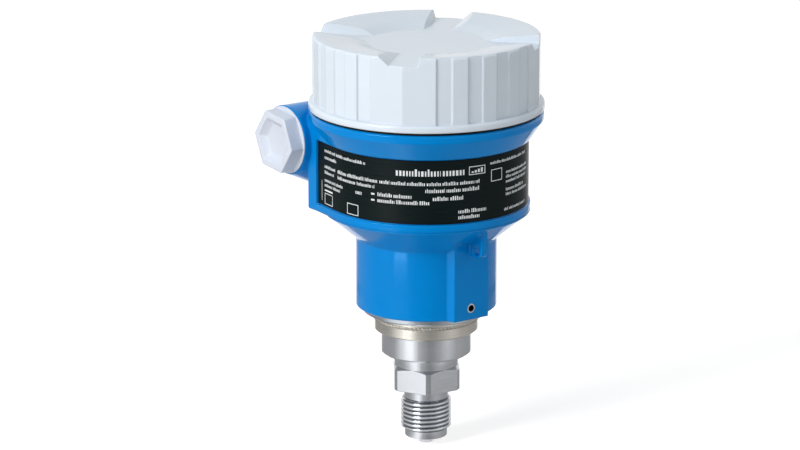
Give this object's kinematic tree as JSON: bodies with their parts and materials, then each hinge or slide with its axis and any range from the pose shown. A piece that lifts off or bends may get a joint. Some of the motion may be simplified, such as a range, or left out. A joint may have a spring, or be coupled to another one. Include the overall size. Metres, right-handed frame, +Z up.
{
  "type": "pressure transmitter",
  "caption": "Pressure transmitter with a G1/2 stainless process thread and welded sensor, a rotating die-cast housing with plugged cable entries, and a fluted screw cover.",
  "frame": {"origin": "on the process thread's axis, at the thread's lower end", "axes": "+Z up along the process thread's axis, X along the two cable entries, -Y toward the tag lug and locking screw"},
  "size_m": [0.1, 0.1028, 0.1739],
  "materials": {
    "turned_steel": "satin, turned",
    "foil_steel": "rolled",
    "polished_steel": "polished",
    "spring_steel": "bright",
    "screw_steel": "bright",
    "silicon": "polished",
    "gold_pins": "plated",
    "circuit_board": "solder resist",
    "seal_rubber": "matte",
    "blue_paint": "satin powder coat",
    "grey_paint": "satin powder coat",
    "plate_foil": "black print, satin",
    "plug_plastic": "satin",
    "insert_plastic": "matte",
    "terminal_plastic": "matte",
    "black_plastic": "matte",
    "switch_plastic": "gloss",
    "slider_plastic": "gloss",
    "key_plastic": "matte"
  },
  "bodies": {
    "sensor": {"process_connection": "turned_steel", "sensor_body": "turned_steel", "measuring_diaphragm": "foil_steel", "sensor_header": "turned_steel", "sensor_chip": "silicon", "feedthrough_pins": "gold_pins", "compensation_board": "circuit_board", "board_spacers": "turned_steel", "sensor_ring": "turned_steel", "rotation_collar": "polished_steel", "neck_seal": "seal_rubber", "retaining_clip": "spring_steel"},
    "housing": {"housing": "blue_paint", "nameplate": "plate_foil", "lock_screw": "screw_steel", "vent_filter": "black_plastic", "outer_ground_clamp": "screw_steel", "outer_ground_screw": "screw_steel", "inner_ground_clamp": "screw_steel", "inner_ground_screw": "screw_steel", "electronics_insert": "insert_plastic", "insert_screws": "screw_steel", "terminal_block": "terminal_plastic", "terminal_screws": "screw_steel", "display_socket": "black_plastic", "switch_case": "switch_plastic", "key_guides": "black_plastic"},
    "cover_seal": {"cover_seal": "seal_rubber"},
    "cover": {"cover": "grey_paint"},
    "left_plug_seal": {"left_plug_seal": "seal_rubber"},
    "left_plug": {"left_plug": "plug_plastic"},
    "right_plug_seal": {"right_plug_seal": "seal_rubber"},
    "right_plug": {"right_plug": "plug_plastic"},
    "zero_key": {"zero_key": "key_plastic"},
    "span_key": {"span_key": "key_plastic"},
    "switch_slider_1": {"switch_slider_1": "slider_plastic"},
    "switch_slider_2": {"switch_slider_2": "slider_plastic"},
    "switch_slider_3": {"switch_slider_3": "slider_plastic"},
    "switch_slider_4": {"switch_slider_4": "slider_plastic"}
  },
  "joints": [
    {"name": "housing_turn", "type": "hinge", "parent": "sensor", "child": "housing", "pos_m": [0, 0, 0.05405], "axis": [0, 0, 1], "range_deg": [-190, 190]},
    {"name": "cover_rise", "type": "slide", "parent": "housing", "child": "cover_seal", "axis": [0, 0, 1], "range_m": [0, 0.012]},
    {"name": "cover_turn", "type": "hinge", "parent": "cover_seal", "child": "cover", "pos_m": [0, 0, 0.13775], "axis": [0, 0, 1], "range_deg": [0, 2160]},
    {"name": "left_plug_slide", "type": "slide", "parent": "housing", "child": "left_plug_seal", "axis": [-1, 0, 0], "range_m": [0, 0.009]},
    {"name": "left_plug_turn", "type": "hinge", "parent": "left_plug_seal", "child": "left_plug", "pos_m": [-0.0435, 0.0383, 0.1222], "axis": [-1, 0, 0], "range_deg": [0, 2160]},
    {"name": "right_plug_slide", "type": "slide", "parent": "housing", "child": "right_plug_seal", "axis": [1, 0, 0], "range_m": [0, 0.009]},
    {"name": "right_plug_turn", "type": "hinge", "parent": "right_plug_seal", "child": "right_plug", "pos_m": [0.0435, 0.0383, 0.1222], "axis": [1, 0, 0], "range_deg": [0, 2160]},
    {"name": "zero_key_press", "type": "slide", "parent": "housing", "child": "zero_key", "axis": [0, 0, -1], "range_m": [0, 0.001], "stiffness_N_per_m": 500, "springref_m": -0.0004},
    {"name": "span_key_press", "type": "slide", "parent": "housing", "child": "span_key", "axis": [0, 0, -1], "range_m": [0, 0.001], "stiffness_N_per_m": 500, "springref_m": -0.0004},
    {"name": "switch_slider_1_slide", "type": "slide", "parent": "housing", "child": "switch_slider_1", "axis": [0, 1, 0], "range_m": [0, 0.0014]},
    {"name": "switch_slider_2_slide", "type": "slide", "parent": "housing", "child": "switch_slider_2", "axis": [0, 1, 0], "range_m": [0, 0.0014]},
    {"name": "switch_slider_3_slide", "type": "slide", "parent": "housing", "child": "switch_slider_3", "axis": [0, 1, 0], "range_m": [0, 0.0014]},
    {"name": "switch_slider_4_slide", "type": "slide", "parent": "housing", "child": "switch_slider_4", "axis": [0, 1, 0], "range_m": [0, 0.0014]}
  ],
  "couplings": [
    {"joint": "cover_rise", "follows": "cover_turn", "m_per_rad": 0.00031831},
    {"joint": "left_plug_slide", "follows": "left_plug_turn", "m_per_rad": 0.00023873},
    {"joint": "right_plug_slide", "follows": "right_plug_turn", "m_per_rad": 0.00023873}
  ]
}
